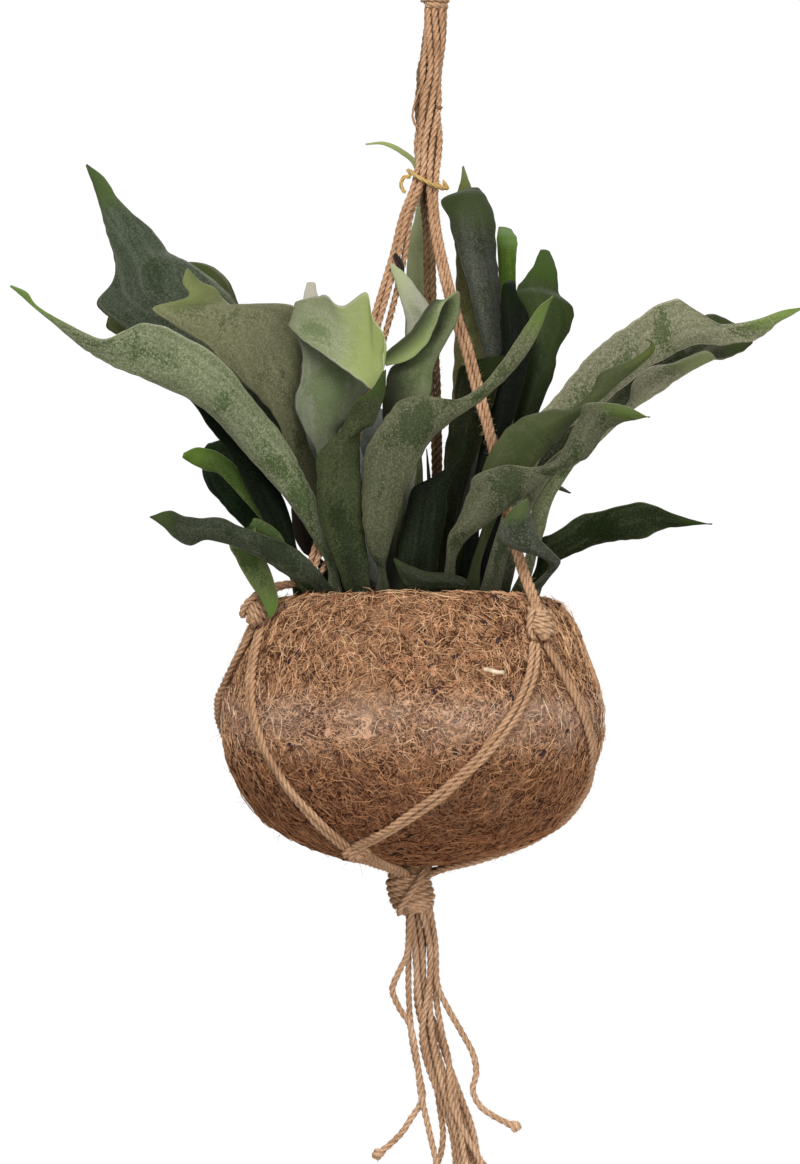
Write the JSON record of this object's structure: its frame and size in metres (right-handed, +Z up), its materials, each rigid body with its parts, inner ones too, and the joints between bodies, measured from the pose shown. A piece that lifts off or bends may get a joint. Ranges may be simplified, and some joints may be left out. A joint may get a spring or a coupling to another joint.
{
  "type": "staghorn fern in a hanging coir ball pot",
  "caption": "Staghorn fern with lobed grey-green fronds growing from an open-topped coir ball pot, hung in a knotted jute rope net with a top loop and a loose tassel.",
  "frame": {"origin": "inside top of the hanging loop, where the hook bears", "axes": "+Z up along the hang, -Y towards the front of the plant, +X to the viewer's right"},
  "size_m": [0.4587, 0.3016, 0.7529],
  "materials": {
    "frond_olive": "dull leathery leaf",
    "frond_grey_green": "dull leathery leaf",
    "frond_taupe": "dull leathery leaf",
    "frond_lime": "dull leathery leaf",
    "frond_pale": "dull leathery leaf",
    "frond_bright_green": "dull leathery leaf",
    "frond_dark": "dull leathery leaf",
    "frond_withered_tip": "dull leathery leaf",
    "old_shield": "dull leathery leaf",
    "coir": "needled coconut fibre felt",
    "potting_mix": "dark bark and coir crumbs",
    "jute": "three-strand twisted jute, hairy",
    "ochre_thread": "thin twisted thread"
  },
  "bodies": {
    "root": {"binding_tie": "ochre_thread", "coir_pot": "coir", "frond_back_left": "frond_grey_green", "frond_back_mid": "frond_grey_green", "frond_back_right": "frond_grey_green", "frond_back_side": "frond_grey_green", "frond_back_tip": "frond_bright_green", "frond_behind_ropes": "frond_pale", "frond_beige_tip": "frond_withered_tip", "frond_centre_dark": "frond_dark", "frond_centre_upper": "frond_dark", "frond_curled_pale": "frond_pale", "frond_dark_behind": "frond_dark", "frond_dark_strap_left": "frond_dark", "frond_far_left_strap": "frond_olive", "frond_folded_fan": "frond_lime", "frond_front_right_twist": "frond_olive", "frond_front_sweep": "frond_olive", "frond_front_upright": "frond_olive", "frond_green_s_tip": "frond_lime", "frond_green_strap": "frond_bright_green", "frond_left_back_lobed": "frond_bright_green", "frond_left_bright": "frond_bright_green", "frond_left_broad": "frond_taupe", "frond_left_low_strap": "frond_grey_green", "frond_left_very_dark": "frond_dark", "frond_over_rim": "frond_bright_green", "frond_pale_tip": "frond_pale", "frond_right_dark": "frond_dark", "frond_right_green": "frond_bright_green", "frond_right_lobe": "frond_taupe", "frond_right_low_strap": "frond_dark", "frond_rim_leaf": "frond_grey_green", "frond_small_folded": "frond_grey_green", "frond_strap_right": "frond_olive", "frond_tall_dark": "frond_grey_green", "frond_upper_left": "frond_grey_green", "frond_upper_right_long": "frond_olive", "gathering_knot": "jute", "hanging_loop": "jute", "leg_back": "jute", "leg_left": "jute", "leg_right": "jute", "net_back_from_back": "jute", "net_back_from_left": "jute", "net_front_from_left": "jute", "net_front_from_right": "jute", "net_right_from_back": "jute", "net_right_from_right": "jute", "old_shield_frond": "old_shield", "potting_mix": "potting_mix", "tassel_bowed_strand": "jute", "tassel_bundle": "jute", "tassel_curled_strand": "jute", "tassel_left_strand": "jute", "tassel_right_strand": "jute", "top_knot": "jute", "upper_knot_back": "jute", "upper_knot_left": "jute", "upper_knot_right": "jute"}
  },
  "joints": []
}
